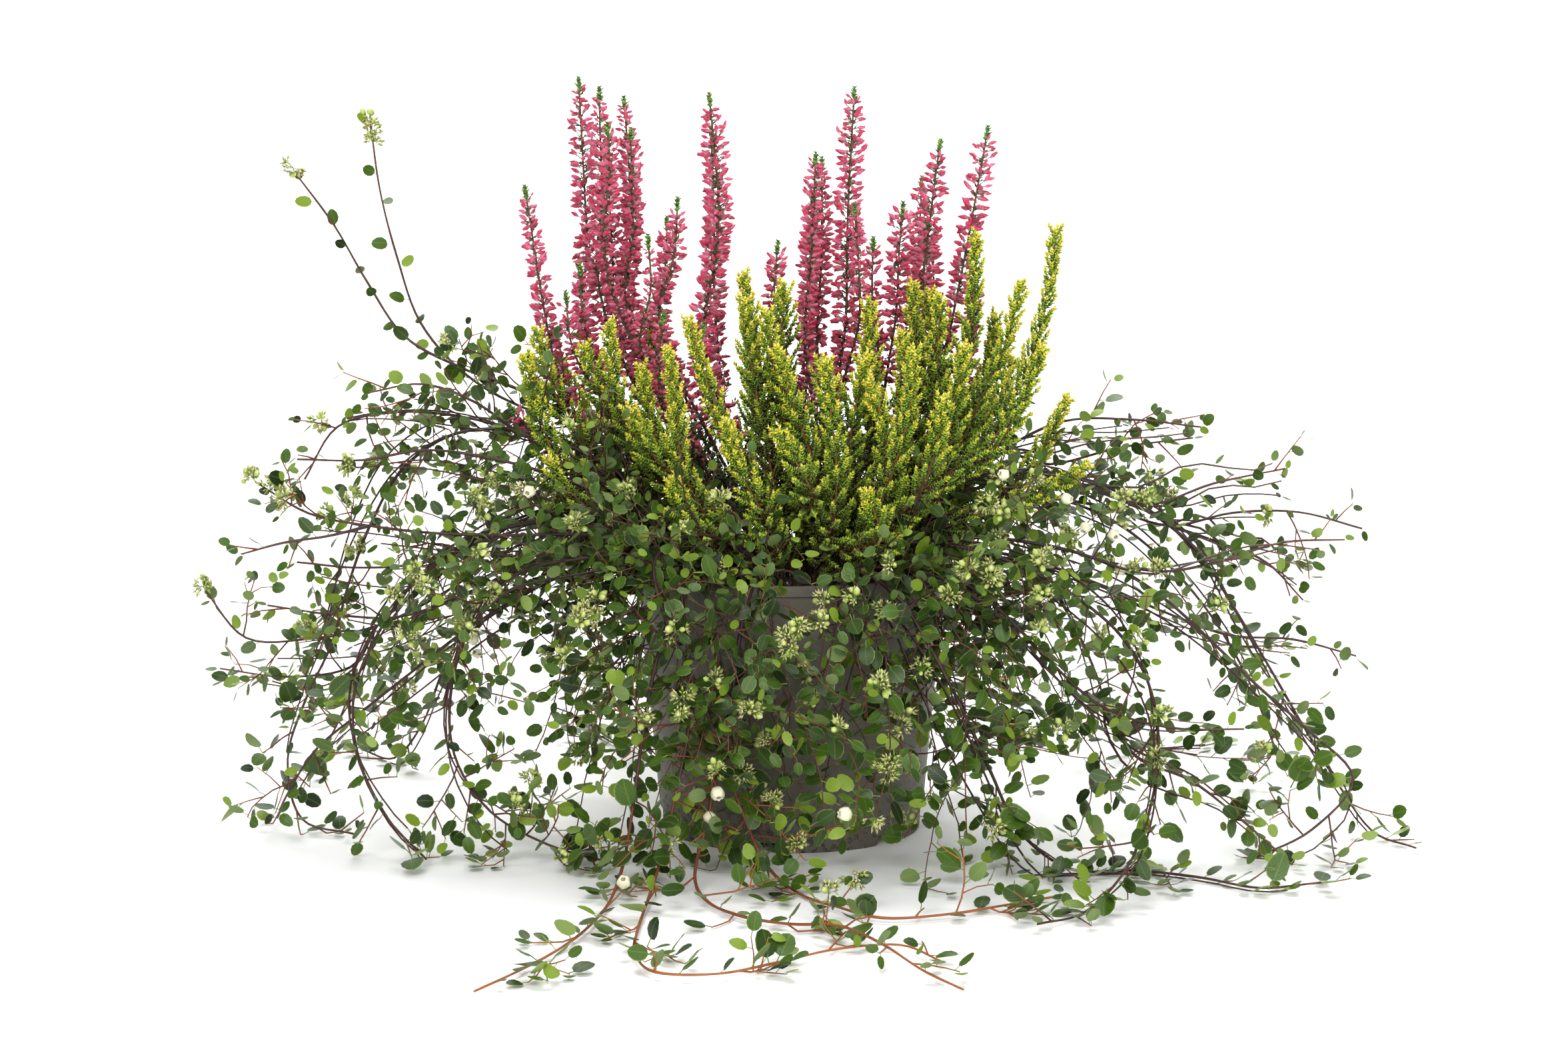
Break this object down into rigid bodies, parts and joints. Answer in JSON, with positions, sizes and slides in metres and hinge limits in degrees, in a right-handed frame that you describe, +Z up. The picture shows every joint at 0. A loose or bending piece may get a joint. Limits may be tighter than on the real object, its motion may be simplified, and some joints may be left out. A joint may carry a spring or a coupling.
{
  "type": "potted heather with trailing wire vine",
  "caption": "Round plastic nursery pot planted with pink bud heather spikes, yellow-green foliage heather and a trailing wire vine.",
  "frame": {"origin": "centre of the flat pad under the pot, on the surface it stands on", "axes": "+Z up along the pot's axis, -Y towards the front of the planting as pictured, +X to its right"},
  "size_m": [0.5152, 0.5092, 0.3136],
  "materials": {
    "pot_plastic": "matt warm grey moulded plastic with faint scuffs and water marks",
    "potting_soil": "dark damp peat, crumbly and matt",
    "heather_buds": "satin pink bud petals with pale streaks",
    "heather_stem": "matt dark brown woody stem with green bracts",
    "heather_foliage": "satin yellow-green scale leaves with paler edges",
    "foliage_stem": "matt orange-brown young stem",
    "vine_stem": "satin wiry stem, dark brown to red-brown",
    "vine_leaf": "satin green leaf with paler underside",
    "vine_flower": "matt greenish cream flower",
    "vine_fruit": "glossy white translucent berry"
  },
  "bodies": {
    "root": {"pot": "pot_plastic", "soil": "potting_soil", "bud_spray_01": "heather_buds", "bud_spray_02": "heather_buds", "bud_spray_03": "heather_buds", "bud_spray_04": "heather_buds", "bud_spray_05": "heather_buds", "bud_spray_06": "heather_buds", "bud_spray_07": "heather_buds", "bud_spray_08": "heather_buds", "bud_spray_09": "heather_buds", "bud_spray_10": "heather_buds", "bud_spray_11": "heather_buds", "bud_spray_12": "heather_buds", "bud_spray_13": "heather_buds", "bud_spray_14": "heather_buds", "bud_spray_15": "heather_buds", "foliage_spray_01": "heather_foliage", "foliage_spray_02": "heather_foliage", "foliage_spray_03": "heather_foliage", "foliage_spray_04": "heather_foliage", "foliage_spray_05": "heather_foliage", "foliage_spray_06": "heather_foliage", "foliage_spray_07": "heather_foliage", "foliage_spray_08": "heather_foliage", "foliage_spray_09": "heather_foliage", "foliage_spray_10": "heather_foliage", "foliage_spray_11": "heather_foliage", "foliage_spray_12": "heather_foliage", "foliage_spray_13": "heather_foliage", "foliage_spray_14": "heather_foliage", "foliage_spray_15": "heather_foliage", "foliage_spray_16": "heather_foliage", "vine_01": "vine_leaf", "vine_02": "vine_leaf", "vine_03": "vine_leaf", "vine_04": "vine_leaf", "vine_05": "vine_leaf", "vine_06": "vine_leaf", "vine_07": "vine_leaf", "vine_08": "vine_leaf", "vine_09": "vine_leaf", "vine_10": "vine_leaf", "vine_11": "vine_leaf", "vine_12": "vine_leaf", "vine_13": "vine_leaf", "vine_14": "vine_leaf", "vine_15": "vine_leaf", "vine_16": "vine_leaf", "vine_17": "vine_leaf", "vine_18": "vine_leaf", "vine_19": "vine_leaf", "vine_20": "vine_leaf", "vine_21": "vine_leaf", "vine_22": "vine_leaf", "vine_23": "vine_leaf", "vine_24": "vine_leaf", "vine_25": "vine_leaf", "vine_26": "vine_leaf", "vine_27": "vine_leaf"}
  },
  "joints": []
}
